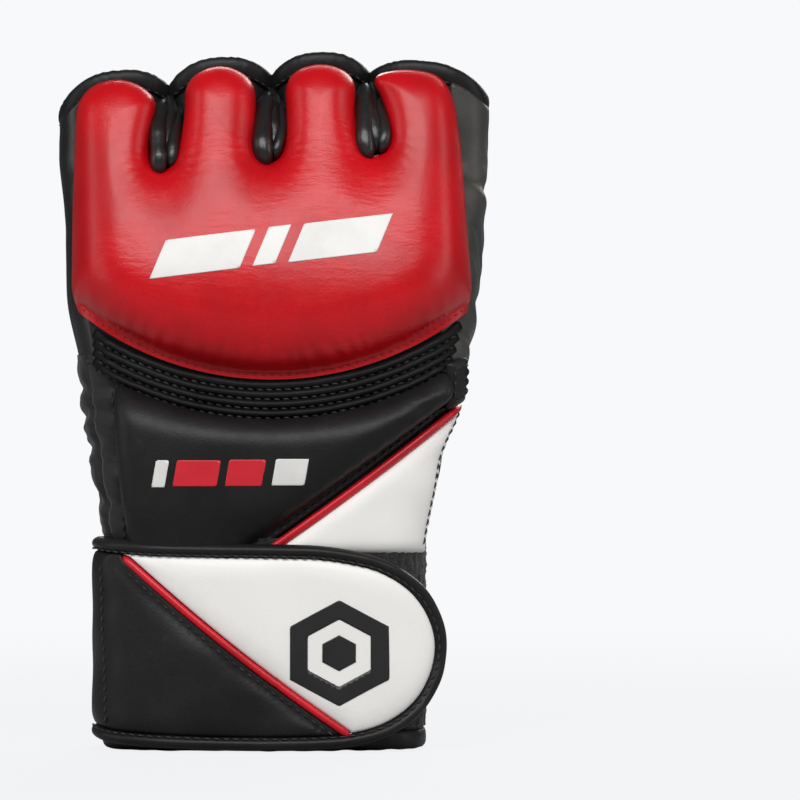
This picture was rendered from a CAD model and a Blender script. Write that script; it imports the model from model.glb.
import math
import bpy
import numpy as np
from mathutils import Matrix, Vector, geometry


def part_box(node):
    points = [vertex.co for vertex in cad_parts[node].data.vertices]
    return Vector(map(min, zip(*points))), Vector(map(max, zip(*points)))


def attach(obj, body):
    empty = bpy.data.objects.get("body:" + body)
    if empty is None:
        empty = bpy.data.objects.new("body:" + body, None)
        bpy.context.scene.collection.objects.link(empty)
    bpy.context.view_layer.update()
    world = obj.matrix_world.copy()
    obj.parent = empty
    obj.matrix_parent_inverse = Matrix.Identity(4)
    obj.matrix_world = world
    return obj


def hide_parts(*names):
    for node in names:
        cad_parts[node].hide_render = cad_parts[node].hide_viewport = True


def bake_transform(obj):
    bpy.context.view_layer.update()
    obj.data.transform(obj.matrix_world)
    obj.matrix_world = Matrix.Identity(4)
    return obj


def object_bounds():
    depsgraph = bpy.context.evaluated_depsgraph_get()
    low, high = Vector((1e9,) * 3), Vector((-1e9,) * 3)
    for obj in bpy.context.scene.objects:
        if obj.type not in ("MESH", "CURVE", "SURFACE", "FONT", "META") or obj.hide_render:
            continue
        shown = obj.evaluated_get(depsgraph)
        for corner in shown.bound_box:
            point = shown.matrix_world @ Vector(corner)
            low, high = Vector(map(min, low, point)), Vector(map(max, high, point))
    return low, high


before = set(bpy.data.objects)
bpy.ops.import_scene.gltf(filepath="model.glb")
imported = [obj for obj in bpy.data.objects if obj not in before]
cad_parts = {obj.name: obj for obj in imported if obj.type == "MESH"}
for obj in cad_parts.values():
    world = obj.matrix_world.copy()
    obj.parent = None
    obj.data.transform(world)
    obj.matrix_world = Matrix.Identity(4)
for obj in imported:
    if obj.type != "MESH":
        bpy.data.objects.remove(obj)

# The glove is drawn in millimetres about the hand's own middle plane: x towards the thumb side,
# y from the back of the hand (negative) to the palm, z from the cuff to the fingers.
mm = 0.001
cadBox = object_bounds()
cuffLow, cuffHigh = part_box("cuff")
cuffMiddle = (-2.75, 0.25)
gloveShift = np.array([
    (cuffLow.x + cuffHigh.x) / 2 / mm - cuffMiddle[0],
    (cuffLow.y + cuffHigh.y) / 2 / mm - cuffMiddle[1],
    0.0,
])
print("frame loaded", len(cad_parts), "nodes")


# ---- numbers and curves ----

def between(low, high, x):
    t = np.clip((np.asarray(x, float) - low) / (high - low), 0, 1)
    return t * t * (3 - 2 * t)


def rounded(gap, reach, power=2.2):
    # 0 at an edge and 1 from reach inwards, with a rounded shoulder
    return np.sqrt(np.clip(1 - (1 - np.clip(gap / reach, 0, 1)) ** power, 0, 1))


def squared(value, share):
    # a sine or cosine bent towards a squarer section
    return np.sign(value) * np.abs(value) ** share


def flatRoom(points):
    # two-number places as room points, for waves
    return np.stack([points[:, 0], points[:, 1], points[:, 0] * 0], 1)


def waves(points, size, seed, count=9):
    # a smooth random field of about -1 to 1 whose bumps are about size across
    draw = np.random.RandomState(seed)
    way = draw.normal(size=(count, 3))
    way /= np.linalg.norm(way, axis=1)[:, None]
    pace = 2 * np.pi / size * draw.uniform(0.6, 1.5, count)
    phase = draw.uniform(0, 2 * np.pi, count)
    flat = np.asarray(points, float).reshape(-1, 3)
    field = np.sin(flat @ (way * pace[:, None]).T + phase).sum(1) / math.sqrt(count)
    return field.reshape(np.asarray(points).shape[:-1])


def softTable(places, values, spread=7.0):
    # a curve through a short table, rounded over spread
    fine = np.arange(places[0] - 40, places[-1] + 40, 0.5)
    line = np.interp(fine, places, values)
    firstRise = (values[1] - values[0]) / (places[1] - places[0])
    lastRise = (values[-1] - values[-2]) / (places[-1] - places[-2])
    line = np.where(fine < places[0], values[0] + (fine - places[0]) * firstRise, line)
    line = np.where(fine > places[-1], values[-1] + (fine - places[-1]) * lastRise, line)
    reach = np.arange(-3 * spread, 3 * spread + 0.1, 0.5)
    weight = np.exp(-0.5 * (reach / spread) ** 2)
    padded = np.concatenate([np.full(len(reach), line[0]), line, np.full(len(reach), line[-1])])
    smooth = np.convolve(padded, weight / weight.sum(), "same")[len(reach):-len(reach)]
    return lambda z: np.interp(z, fine, smooth)


def resample(points, step, closed=False):
    # evenly spaced points along a polyline
    points = np.asarray(points, float)
    if closed:
        points = np.vstack([points, points[:1]])
    run = np.concatenate([[0], np.cumsum(np.linalg.norm(np.diff(points, axis=0), axis=1))])
    count = max(int(round(run[-1] / step)), 3)
    want = np.linspace(0, run[-1], count + 1)
    made = np.stack([np.interp(want, run, points[:, k]) for k in range(points.shape[1])], 1)
    return made[:-1] if closed else made


def softCurve(points, step=1.0, closed=False, turns=3):
    # a smooth line through hand-placed points: corners cut, then evenly spaced
    line = np.asarray(points, float)
    for _ in range(turns):
        after = np.roll(line, -1, axis=0) if closed else line[1:]
        before = line if closed else line[:-1]
        cut = np.stack([before * 0.75 + after * 0.25, before * 0.25 + after * 0.75], 1)
        cut = cut.reshape(-1, line.shape[1])
        line = cut if closed else np.vstack([line[:1], cut, line[-1:]])
    return resample(line, step, closed)


def arcThrough(a, b, c, count=24):
    a, b, c = (np.asarray(p, float) for p in (a, b, c))
    side = np.array([b - a, c - a])
    middle = np.linalg.solve(2 * side, (side * np.array([b + a, c + a])).sum(1))
    radius = np.linalg.norm(a - middle)
    start, via, end = (math.atan2(*(p - middle)[::-1]) for p in (a, b, c))
    turn = (end - start) % (2 * math.pi)
    if (via - start) % (2 * math.pi) > turn:
        turn -= 2 * math.pi
    angles = start + turn * np.linspace(0, 1, count)
    return middle + radius * np.stack([np.cos(angles), np.sin(angles)], 1)


def lineDistance(points, line, closed=True):
    # from each point to the nearest stretch of a polyline
    line = np.asarray(line, float)
    a = line if closed else line[:-1]
    b = np.roll(line, -1, axis=0) if closed else line[1:]
    run = b - a
    length = np.maximum((run ** 2).sum(1), 1e-12)
    found = np.empty(len(points))
    for start in range(0, len(points), 2000):
        some = points[start:start + 2000, None, :] - a[None]
        t = np.clip((some * run).sum(2) / length, 0, 1)
        found[start:start + 2000] = np.sqrt(((some - t[..., None] * run) ** 2).sum(2).min(1))
    return found


def isInside(points, line):
    # even-odd test
    x, z = points[:, 0][:, None], points[:, 1][:, None]
    a, b = line, np.roll(line, -1, axis=0)
    crosses = (a[:, 1] > z) != (b[:, 1] > z)
    rise = np.where(np.abs(b[:, 1] - a[:, 1]) < 1e-12, 1e-12, b[:, 1] - a[:, 1])
    at = a[:, 0] + (z - a[:, 1]) / rise * (b[:, 0] - a[:, 0])
    return (crosses & (x < at)).sum(1) % 2 == 1


def counterClockwise(line):
    x, z = line[:, 0], line[:, 1]
    area = (x * np.roll(z, -1) - np.roll(x, -1) * z).sum()
    return line if area > 0 else line[::-1]


def inwardNormals(line, closed=True):
    # to the left of the way along, which is inwards on a counter-clockwise outline
    if closed:
        way = np.roll(line, -1, axis=0) - np.roll(line, 1, axis=0)
    else:
        way = np.gradient(line, axis=0)
    way /= np.maximum(np.linalg.norm(way, axis=1), 1e-9)[:, None]
    return np.stack([-way[:, 1], way[:, 0]], 1)


# ---- meshes ----

def makePiece(name, points, faces, material):
    mesh = bpy.data.meshes.new(name)
    rows = (np.asarray(points, float).reshape(-1, 3) + gloveShift) * mm
    mesh.from_pydata(rows.tolist(), [], [list(map(int, f)) for f in faces])
    mesh.validate()
    mesh.polygons.foreach_set("use_smooth", [True] * len(mesh.polygons))
    mesh.materials.append(material)
    piece = bpy.data.objects.new(name, mesh)
    bpy.context.scene.collection.objects.link(piece)
    return piece


def gridFaces(rows, columns, closeRows=False, closeColumns=False, start=0):
    faces = []
    for i in range(rows if closeRows else rows - 1):
        for j in range(columns if closeColumns else columns - 1):
            nextI, nextJ = (i + 1) % rows, (j + 1) % columns
            faces.append((start + i * columns + j, start + i * columns + nextJ,
                          start + nextI * columns + nextJ, start + nextI * columns + j))
    return faces


def closedGrid(name, outer, inner, material, ring=False):
    # a solid wall between two grids of points; ring closes it along its columns
    rows, columns = outer.shape[:2]
    count = rows * columns
    faces = gridFaces(rows, columns, closeColumns=ring)
    faces += [f[::-1] for f in gridFaces(rows, columns, closeColumns=ring, start=count)]
    for j in range(columns if ring else columns - 1):
        n = (j + 1) % columns
        top = (rows - 1) * columns
        faces.append((j, count + j, count + n, n))
        faces.append((top + j, top + n, count + top + n, count + top + j))
    if not ring:
        for i in range(rows - 1):
            a, b = i * columns, (i + 1) * columns
            faces.append((a, b, count + b, count + a))
            a, b = a + columns - 1, b + columns - 1
            faces.append((a, count + a, count + b, b))
    return makePiece(name, np.concatenate([outer.reshape(-1, 3), inner.reshape(-1, 3)]), faces, material)


def patch(name, outline, height, place, material, spacing=1.4, rings=(0.12, 0.4, 0.9, 1.6, 2.5), base=0.0,
          gaps=()):
    # a padded or flat shape inside an outline: height(points, distance from edge), place(points, height)
    outline = counterClockwise(np.asarray(outline, float))
    inward = inwardNormals(outline)
    clouds = []
    for depth in rings:
        ring = outline + inward * depth
        clouds.append(ring[lineDistance(ring, outline) > depth * 0.93])
    low, high = outline.min(0), outline.max(0)
    grid = []
    for k, z in enumerate(np.arange(low[1], high[1], spacing * 0.866)):
        x = np.arange(low[0] + (k % 2) * spacing / 2, high[0], spacing)
        grid.append(np.stack([x, np.full(len(x), z)], 1))
    grid = np.concatenate(grid)
    grid = grid[lineDistance(grid, outline) > rings[-1] + spacing * 0.45]
    clouds.append(grid)
    cloud = np.concatenate(clouds)
    cloud = cloud[isInside(cloud, outline)]
    for gap in gaps:
        cloud = cloud[~isInside(cloud, gap) & (lineDistance(cloud, gap) > spacing * 0.3)]
    points = np.concatenate([outline, *gaps, cloud])
    edges, start = [], 0
    for loop in (outline, *gaps):
        edges += [(start + k, start + (k + 1) % len(loop)) for k in range(len(loop))]
        start += len(loop)
    made = geometry.delaunay_2d_cdt([Vector(p) for p in points], edges, [], 1, 1e-5)
    flat = np.array([v[:] for v in made[0]])
    faces = [list(f) for f in made[2]]
    middles = np.array([flat[f].mean(0) for f in faces])
    kept = np.ones(len(faces), bool)
    for gap in gaps:
        kept &= ~isInside(middles, gap)
    faces = [f for f, keep in zip(faces, kept) if keep]
    distance = lineDistance(flat, outline)
    distance[distance < 1e-4] = 0
    top = place(flat, height(flat, distance))
    bottomHeight = base(flat) if callable(base) else np.full(len(flat), float(base))
    bottom = place(flat, bottomHeight)
    total = len(flat)
    sides = {}
    for f in faces:
        for a, b in zip(f, f[1:] + f[:1]):
            sides[(a, b)] = True
    rim = [(a, b) for a, b in sides if (b, a) not in sides]
    flipped = [[total + k for k in f[::-1]] for f in faces]
    walls = [(b, a, total + a, total + b) for a, b in rim]
    allFaces = faces + flipped + walls
    return makePiece(name, np.concatenate([top, bottom]), allFaces, material)


def ribbon(name, line, inward, width, profile, place, material, across=9, under=0.0):
    # a strip along an outline: profile(share across) gives its height
    outer, inner = [], []
    for share in np.linspace(0, 1, across):
        flat = line + inward * width * share
        outer.append(place(flat, profile(share)))
        inner.append(place(flat, np.full(len(line), float(under))))
    return closedGrid(name, np.stack(outer, 1), np.stack(inner, 1), material)


def frameAlong(path, closed, up):
    way = np.roll(path, -1, axis=0) - np.roll(path, 1, axis=0) if closed else np.gradient(path, axis=0)
    way /= np.maximum(np.linalg.norm(way, axis=1), 1e-9)[:, None]
    up = np.broadcast_to(np.asarray(up, float), path.shape)
    up = up - (up * way).sum(1)[:, None] * way
    up = up / np.maximum(np.linalg.norm(up, axis=1), 1e-9)[:, None]
    return way, up, np.cross(way, up)


def roll(name, path, up, material, wide, tall, closed=True, around=14, power=2.4, taper=0.0, rough=None):
    # a rolled edge or piping: an oval section, wide across and tall along up, carried along a path
    path = np.asarray(path, float)
    way, up, aside = frameAlong(path, closed, up)
    angles = np.linspace(0, 2 * np.pi, around, endpoint=False)
    c, s = np.cos(angles), np.sin(angles)
    across = squared(c, 2 / power)
    along = squared(s, 2 / power)
    size = np.ones(len(path))
    if taper and not closed:
        ends = np.minimum(np.arange(len(path)), np.arange(len(path))[::-1]) / taper
        size = np.sqrt(np.clip(1 - (1 - np.clip(ends, 0.04, 1)) ** 2, 0, 1))
    rings = path[:, None] + size[:, None, None] * (
        aside[:, None] * (across * wide)[None, :, None] + up[:, None] * (along * tall)[None, :, None])
    if rough is not None:
        rings = rings + rough(rings) * (rings - path[:, None])
    faces = gridFaces(len(path), around, closeRows=closed, closeColumns=True)
    if not closed:
        last = (len(path) - 1) * around
        faces.append(list(range(around))[::-1])
        faces.append([last + k for k in range(around)])
    return makePiece(name, rings, faces, material)


thread = dict(pitch=3.1, length=2.3, radius=0.34, slant=0.10)


def stitches(name, rows, material, pitch=None, radius=None, length=None):
    # rows of (path, surface normals): one small rounded stitch after another
    pitch = pitch or thread["pitch"]
    radius = radius or thread["radius"]
    length = length or thread["length"]
    around, steps = 6, 5
    turn = np.linspace(0, 2 * np.pi, around, endpoint=False)
    reach = np.linspace(-1, 1, steps)
    girth = np.array([0.35, 0.85, 1.0, 0.85, 0.35])
    dive = np.array([-0.9, -0.15, 0.1, -0.15, -0.9])
    points, faces = [], []
    for path, normals in rows:
        path = np.asarray(path, float)
        run = np.concatenate([[0], np.cumsum(np.linalg.norm(np.diff(path, axis=0), axis=1))])
        count = int(run[-1] / pitch)
        if count < 1:
            continue
        at = (np.arange(count) + 0.5) * run[-1] / count
        centre = np.stack([np.interp(at, run, path[:, k]) for k in range(3)], 1)
        ahead = np.stack([np.interp(at + 0.4, run, path[:, k]) for k in range(3)], 1)
        behind = np.stack([np.interp(at - 0.4, run, path[:, k]) for k in range(3)], 1)
        normal = np.stack([np.interp(at, run, np.asarray(normals)[:, k]) for k in range(3)], 1)
        normal /= np.linalg.norm(normal, axis=1)[:, None]
        way = ahead - behind
        way /= np.linalg.norm(way, axis=1)[:, None]
        aside = np.cross(way, normal)
        way = way + aside * thread["slant"]
        for k in range(count):
            start = len(points)
            for r, g, d in zip(reach, girth, dive):
                middle = centre[k] + way[k] * r * length / 2 + normal[k] * radius * (d + 0.35)
                for a in turn:
                    points.append(middle + radius * g * (math.cos(a) * aside[k] + math.sin(a) * normal[k]))
            faces += gridFaces(steps, around, closeColumns=True, start=start)
            faces.append(list(range(start, start + around))[::-1])
            last = start + (steps - 1) * around
            faces.append(list(range(last, last + around)))
    return makePiece(name, np.array(points), faces, material)


# ---- how pieces hang on the frame ----


def onHand(piece):
    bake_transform(piece)
    return piece


def onThumb(piece):
    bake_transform(piece)
    return piece


def onStrap(piece):
    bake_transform(piece)
    return piece


def finish(piece, slot, *nodes):
    if nodes:
        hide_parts(*nodes)
    return piece


# ---- the hand's own form ----

hand = dict(
    heights=(60, 67.6, 79, 90, 107, 122, 140, 172, 195, 219),
    left=(-52.2, -52.9, -54.2, -56.4, -59.3, -61.4, -65.1, -67.2, -68.4, -67.5),
    right=(47.0, 47.8, 50.2, 52.4, 57.2, 61.8, 64.8, 66.8, 68.4, 67.5),
    back=(-22.3, -22.5, -22.9, -23.0, -22.8, -22.2, -20.5, -15.5, -9.5, -3.5),
    palm=(23.4, 23.5, 23.5, 23.5, 23.5, 23.5, 23.5, 23.5, 24.0, 24.0),
    power=3.0,
)
sideAt = {side: softTable(hand["heights"], hand[side], 5.0) for side in ("left", "right", "back", "palm")}


def handMiddle(z):
    left, right, back, palm = (sideAt[side](z) for side in ("left", "right", "back", "palm"))
    return (left + right) / 2, (right - left) / 2, (back + palm) / 2, (palm - back) / 2


def faceY(x, z, side=-1, grow=0.0):
    # y of the back of the hand (side -1) or the palm (side 1)
    middleX, halfWide, middleY, halfDeep = handMiddle(z)
    u = np.clip(np.abs(x - middleX) / (halfWide + grow), 0, 0.9995)
    return middleY + side * (halfDeep + grow) * (1 - u ** hand["power"]) ** (1 / hand["power"])


def ringPoint(angle, z, grow=0.0):
    # a point on the hand's section: angle 0 at the thumb side, 90 degrees at the palm
    middleX, halfWide, middleY, halfDeep = handMiddle(z)
    c, s = np.cos(angle), np.sin(angle)
    share = 2 / hand["power"]
    x = middleX + (halfWide + grow) * squared(c, share)
    y = middleY + (halfDeep + grow) * squared(s, share)
    return np.stack(np.broadcast_arrays(x, y, z), -1)


wrapWide, wrapDeep = 65.0, 21.0      # a typical half width and half depth of the hand


def evenAngles(low, high, count, power=hand["power"], wide=wrapWide, deep=wrapDeep):
    angle = np.linspace(low, high, 4000)
    c, s = np.cos(angle), np.sin(angle)
    x = wide * squared(c, 2 / power)
    y = deep * squared(s, 2 / power)
    run = np.concatenate([[0], np.cumsum(np.hypot(np.diff(x), np.diff(y)))])
    return np.interp(np.linspace(0, run[-1], count), run, angle)


def onBack(points, height):
    # places (x, z) points on the back of the hand, height proud of it
    x, z = points[:, 0], points[:, 1]
    return np.stack([x, faceY(x, z) - height, z], 1)


def onPalm(points, height):
    x, z = points[:, 0], points[:, 1]
    return np.stack([x, faceY(x, z, 1) + height, z], 1)


wrapAngles = np.linspace(-0.6, math.pi + 0.6, 2400)
wrapLine = np.stack([wrapWide * squared(np.cos(wrapAngles), 2 / hand["power"]),
                     wrapDeep * squared(np.sin(wrapAngles), 2 / hand["power"])], 1)
wrapRun = np.concatenate([[0], np.cumsum(np.linalg.norm(np.diff(wrapLine, axis=0), axis=1))])
wrapRun = np.interp(math.pi / 2, wrapAngles, wrapRun) - wrapRun
seenX, seenRun = wrapLine[::-1, 0] / wrapWide, wrapRun[::-1]
seenFront = (wrapAngles[::-1] > 0.03) & (wrapAngles[::-1] < math.pi - 0.03)


def wrapAngle(p, z):
    # from the distance along the section to an angle
    _, halfWide, _, _ = handMiddle(z)
    return np.interp(-p * wrapWide / halfWide, -wrapRun, wrapAngles)


def backRun(points):
    # from a place seen at x to its distance round the back of the hand
    points = np.asarray(points, float)
    middleX, halfWide, _, _ = handMiddle(points[:, 1])
    run = np.interp((points[:, 0] - middleX) / halfWide, seenX[seenFront],
                    seenRun[seenFront]) * halfWide / wrapWide
    return np.stack([run, points[:, 1]], 1)


def onBackWrap(points, height):
    return ringPoint(-wrapAngle(points[:, 0], points[:, 1]), points[:, 1], height)


def backRow(line, height):
    path = onBackWrap(line, height)
    return path, onBackWrap(line, height + 1.0) - path


def surfaceRow(points, height, place):
    # a path on a surface, with normals
    points = np.asarray(points, float)
    path = place(points, height)
    step = 0.5
    sideways = place(points + (step, 0), height) - place(points - (step, 0), height)
    upwards = place(points + (0, step), height) - place(points - (0, step), height)
    normals = np.cross(sideways, upwards)
    normals /= np.linalg.norm(normals, axis=1)[:, None]
    if place is onPalm:
        normals = -normals
    return path, normals


# ---- shader building ----

class Wire:
    # one socket of a shader; arithmetic on it adds Math nodes
    def __init__(self, maker, socket):
        self.maker = maker
        self.socket = socket

    def maths(self, operation, *others):
        return self.maker.node("ShaderNodeMath", {"operation": operation},
                               dict(enumerate([self, *others])))

    def __add__(self, other):
        return self.maths("ADD", other)

    __radd__ = __add__

    def __mul__(self, other):
        return self.maths("MULTIPLY", other)

    __rmul__ = __mul__

    def __sub__(self, other):
        return self.maths("SUBTRACT", other)

    def __rsub__(self, other):
        return self.maker.node("ShaderNodeMath", {"operation": "SUBTRACT"}, {0: other, 1: self})

    def within(self, low, high):
        # 0 below low, 1 above high
        settings = {"interpolation_type": "SMOOTHSTEP"}
        values = {"Value": self, "From Min": low, "From Max": high}
        return self.maker.node("ShaderNodeMapRange", settings, values)


class Nodes:
    # one node tree: node() adds any node, and gives back its first output or the one named
    def __init__(self, tree):
        self.tree = tree

    def node(self, kind, settings=None, values=None, output=0):
        made = self.tree.nodes.new(kind)
        for key, value in (settings or {}).items():
            setattr(made, key, value)
        for key, value in (values or {}).items():
            self.feed(made.inputs[key], value)
        return Wire(self, made.outputs[output])

    def feed(self, socket, value):
        if isinstance(value, Wire):
            self.tree.links.new(value.socket, socket)
        else:
            socket.default_value = value

    def mix(self, low, high, share):
        # inputs 6 and 7 and output 2 of a Mix node are its colours
        return self.node("ShaderNodeMix", {"data_type": "RGBA"}, {0: share, 6: low, 7: high}, output=2)

    def where(self):
        return self.node("ShaderNodeTexCoord", output=3)

    def noise(self, scale, detail=3.0, rough=0.5, at=None):
        values = {"Vector": at or self.where(), "Scale": scale, "Detail": detail, "Roughness": rough}
        return self.node("ShaderNodeTexNoise", None, values)

    def cells(self, scale, feature="F1", at=None):
        return self.node("ShaderNodeTexVoronoi", {"feature": feature},
                         {"Vector": at or self.where(), "Scale": scale})

    def bump(self, height, strength, reach, under=None):
        values = {"Height": height, "Strength": strength, "Distance": reach}
        if under is not None:
            values["Normal"] = under
        return self.node("ShaderNodeBump", None, values)


class Finish(Nodes):
    # one material
    def __init__(self, name):
        self.material = bpy.data.materials.new(name)
        self.material.use_nodes = True
        super().__init__(self.material.node_tree)
        self.shader = self.tree.nodes["Principled BSDF"]

    def set(self, **sockets):
        for key, value in sockets.items():
            self.feed(self.shader.inputs[key.replace("_", " ")], value)


def shade(colour, times):
    return tuple(min(c * times, 1.0) for c in colour[:3]) + (1.0,)


def leather(name, colour, rough=0.42, grain=1.0, creaseDepth=1.0, lift=1.25, worn=None, gloss=0.3,
            dark=0.72, drawn=0.0):
    # grain cells, pores, fine creases and slow changes of tone
    made = Finish(name)
    pebble = made.cells(1500, "SMOOTH_F1")
    pores = made.noise(2600, 2.0)
    creases = made.noise(260, 4.0, 0.62)
    slow = made.noise(38, 3.0)
    tone = made.mix(shade(colour, (1 + dark) / 2), shade(colour, lift), slow.within(0.32, 0.70))
    tone = made.mix(tone, shade(colour, dark), pebble.within(0.45, 0.75) * 0.35)
    if worn:
        rubbed = creases.within(0.58, 0.74) * slow.within(0.45, 0.65)
        tone = made.mix(tone, worn + (1.0,), rubbed * 0.25)
    height = pebble * -0.55 + pores * 0.25 + creases * 0.5 * creaseDepth
    if drawn:
        # fine level wrinkles, in patches
        spread = made.node("ShaderNodeVectorMath", {"operation": "MULTIPLY"},
                           {0: made.where(), 1: (0.22, 0.5, 1.0)})
        level = made.noise(620, 3.0, 0.55, at=spread)
        height = height + level.within(0.35, 0.7) * slow.within(0.42, 0.62) * drawn * 3.0
    soft = made.bump(slow, 0.12, 2.0 * mm)
    made.set(Base_Color=tone, Roughness=creases * 0.16 + (rough - 0.08),
             Normal=made.bump(height, 0.26 * grain, 0.25 * mm, soft))
    made.set(Specular_IOR_Level=gloss)
    return made.material


def weave(name, colour, scale=1700, rough=0.85, strength=0.5):
    made = Finish(name)
    across = made.node("ShaderNodeTexWave", {"bands_direction": "X"},
                       {"Vector": made.where(), "Scale": scale * 0.16, "Distortion": 0.6})
    upright = made.node("ShaderNodeTexWave", {"bands_direction": "Z"},
                        {"Vector": made.where(), "Scale": scale * 0.16, "Distortion": 0.6})
    slow = made.noise(60, 3.0)
    height = across + upright + made.noise(2200, 2.0) * 0.6
    tone = made.mix(shade(colour, 0.7), shade(colour, 1.5), slow.within(0.3, 0.7))
    made.set(Base_Color=tone, Roughness=rough, Normal=made.bump(height, strength, 0.2 * mm))
    made.set(Specular_IOR_Level=0.3, Sheen_Weight=0.15, Sheen_Roughness=0.5)
    return made.material


def pile(name, colour):
    # brushed nylon loops
    made = Finish(name)
    fuzz = made.noise(1500, 5.0, 0.7)
    clumps = made.noise(240, 3.0)
    tone = made.mix(shade(colour, 0.45), shade(colour, 2.4), fuzz.within(0.42, 0.66))
    made.set(Base_Color=tone, Roughness=0.95, Normal=made.bump(fuzz + clumps * 0.8, 0.9, 0.5 * mm))
    made.set(Specular_IOR_Level=0.15, Sheen_Weight=0.2, Sheen_Roughness=0.6)
    return made.material


def ink(name, colour, rough=0.42):
    # printed film over leather: the grain shows through
    made = Finish(name)
    pebble = made.cells(1500, "SMOOTH_F1")
    slow = made.noise(90, 3.0)
    tone = made.mix(shade(colour, 0.94), shade(colour, 1.05), slow.within(0.3, 0.7))
    made.set(Base_Color=tone, Roughness=slow * 0.1 + (rough - 0.05),
             Normal=made.bump(pebble * -0.5 + slow, 0.18, 0.2 * mm))
    return made.material


def cotton(name, colour):
    # twisted thread
    made = Finish(name)
    twist = made.node("ShaderNodeTexWave", {"bands_direction": "DIAGONAL"},
                      {"Vector": made.where(), "Scale": 900.0, "Distortion": 1.0})
    tone = made.mix(shade(colour, 0.75), shade(colour, 1.4), twist)
    made.set(Base_Color=tone, Roughness=0.62, Normal=made.bump(twist, 0.5, 0.12 * mm))
    return made.material


colours = dict(
    red=(0.475, 0.0016, 0.0062),
    pipingRed=(0.50, 0.003, 0.012),
    black=(0.0085, 0.0082, 0.0083),
    worn=(0.042, 0.0405, 0.038),
    deepBlack=(0.0045, 0.0045, 0.0045),
    white=(0.80, 0.785, 0.762),
    thread=(0.012, 0.012, 0.013),
    redThread=(0.30, 0.004, 0.010),
)
redLeather = leather("redLeather", colours["red"], rough=0.34, grain=0.7, lift=1.12, gloss=0.36,
                     creaseDepth=1.3, drawn=0.3)
blackLeather = leather("blackLeather", colours["black"], rough=0.44, lift=1.5, worn=(0.03, 0.029, 0.028),
                       gloss=0.22)
glossLeather = leather("glossLeather", colours["black"], rough=0.33, grain=0.9, lift=1.4, creaseDepth=1.5,
                       gloss=0.5)
sideLeather = leather("sideLeather", colours["worn"], rough=0.46, grain=1.0, lift=1.3, creaseDepth=1.8,
                      gloss=0.4)
deepLeather = leather("deepLeather", colours["deepBlack"], rough=0.5, grain=0.9, lift=1.3, creaseDepth=1.4,
                      gloss=0.14)
whiteLeather = leather("whiteLeather", colours["white"], rough=0.42, grain=0.6, lift=1.0, dark=0.97)
pipingLeather = leather("pipingLeather", colours["pipingRed"], rough=0.36, grain=0.5, gloss=0.4)
stretchFabric = weave("stretchFabric", colours["black"], rough=0.6, strength=0.12)
liningFabric = weave("liningFabric", colours["deepBlack"], rough=0.92)
loopPile = pile("loopPile", (0.012, 0.012, 0.012))
hookPile = pile("hookPile", (0.02, 0.02, 0.02))
whiteInk = ink("whiteInk", (0.66, 0.648, 0.63))
redInk = ink("redInk", (0.55, 0.008, 0.02))
blackInk = ink("blackInk", (0.008, 0.008, 0.008))
blackThread = cotton("blackThread", colours["thread"])
redThread = cotton("redThread", colours["redThread"])
print("finishes made", len(bpy.data.materials))


# ---- shield over the knuckles ----

shield = dict(
    lobes=[
        [(-62.7, 186), (-62.6, 198), (-61.6, 204.5), (-57, 209.6), (-49.5, 211.4), (-42.5, 209.8),
         (-37.6, 205.6), (-36.4, 202)],
        [(-27.6, 202), (-27.8, 208), (-24.6, 212.9), (-17, 215.8), (-9.6, 213.6), (-5.6, 209),
         (-5.0, 202)],
        [(4.3, 202), (3.9, 208.5), (6.4, 213.6), (14.5, 216.4), (22.8, 214.3), (26.4, 209.5), (26.1, 202)],
        [(35.6, 201), (34.0, 206), (31.6, 210.2), (33.6, 213.2), (43.5, 214.6), (53.2, 212.6),
         (57.2, 205.5), (58.6, 197)],
    ],
    slots=[
        [(-37.5, 197), (-38.7, 189), (-37.9, 184.0), (-34.4, 181.2), (-31.0, 184.3), (-29.2, 190),
         (-28.1, 197)],
        [(-5.1, 197), (-5.2, 190), (-3.9, 185.6), (-0.8, 183.9), (2.4, 185.8), (3.9, 190.5), (4.4, 197)],
        [(26.8, 197), (28.4, 191.5), (29.6, 187.8), (32.1, 186.2), (34.8, 187.8), (36.6, 191.5),
         (36.4, 196.5)],
    ],
    rightSide=[(59.7, 188), (60.9, 170), (62.3, 152), (63.0, 143.5)],
    leftSide=[(-63.4, 143.5), (-63.2, 152), (-63.1, 170)],
    arcEnds=(-61.0, 61.4, 137.4), arcLowest=116.1,
    hem=2.9, hemHeight=1.5, sideRound=9.5, bottomRound=20.0,
    dips=[(-34.4, 181.2, 2.8), (-0.8, 184.0, 2.8), (32.2, 186.3, 2.8)],
)
arcLine = arcThrough((shield["arcEnds"][0], shield["arcEnds"][2]), (0, shield["arcLowest"]),
                     (shield["arcEnds"][1], shield["arcEnds"][2]), 120)
shieldUpper = []
for lobe, slotLine in zip(shield["lobes"], shield["slots"] + [[]]):
    shieldUpper += lobe + slotLine
shieldUpper = shield["leftSide"] + shieldUpper + shield["rightSide"]
shieldSides = softCurve([tuple(arcLine[0])] + shieldUpper + [tuple(arcLine[-1])], 0.9)
shieldOutline = np.vstack([shieldSides, resample(arcLine, 0.9)[::-1][1:-1]])
paddingTable = softTable((110, 128, 148, 170, 190, 205, 216), (12.0, 14.5, 16.5, 14.5, 12.5, 11.5, 10.5),
                         6)


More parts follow.
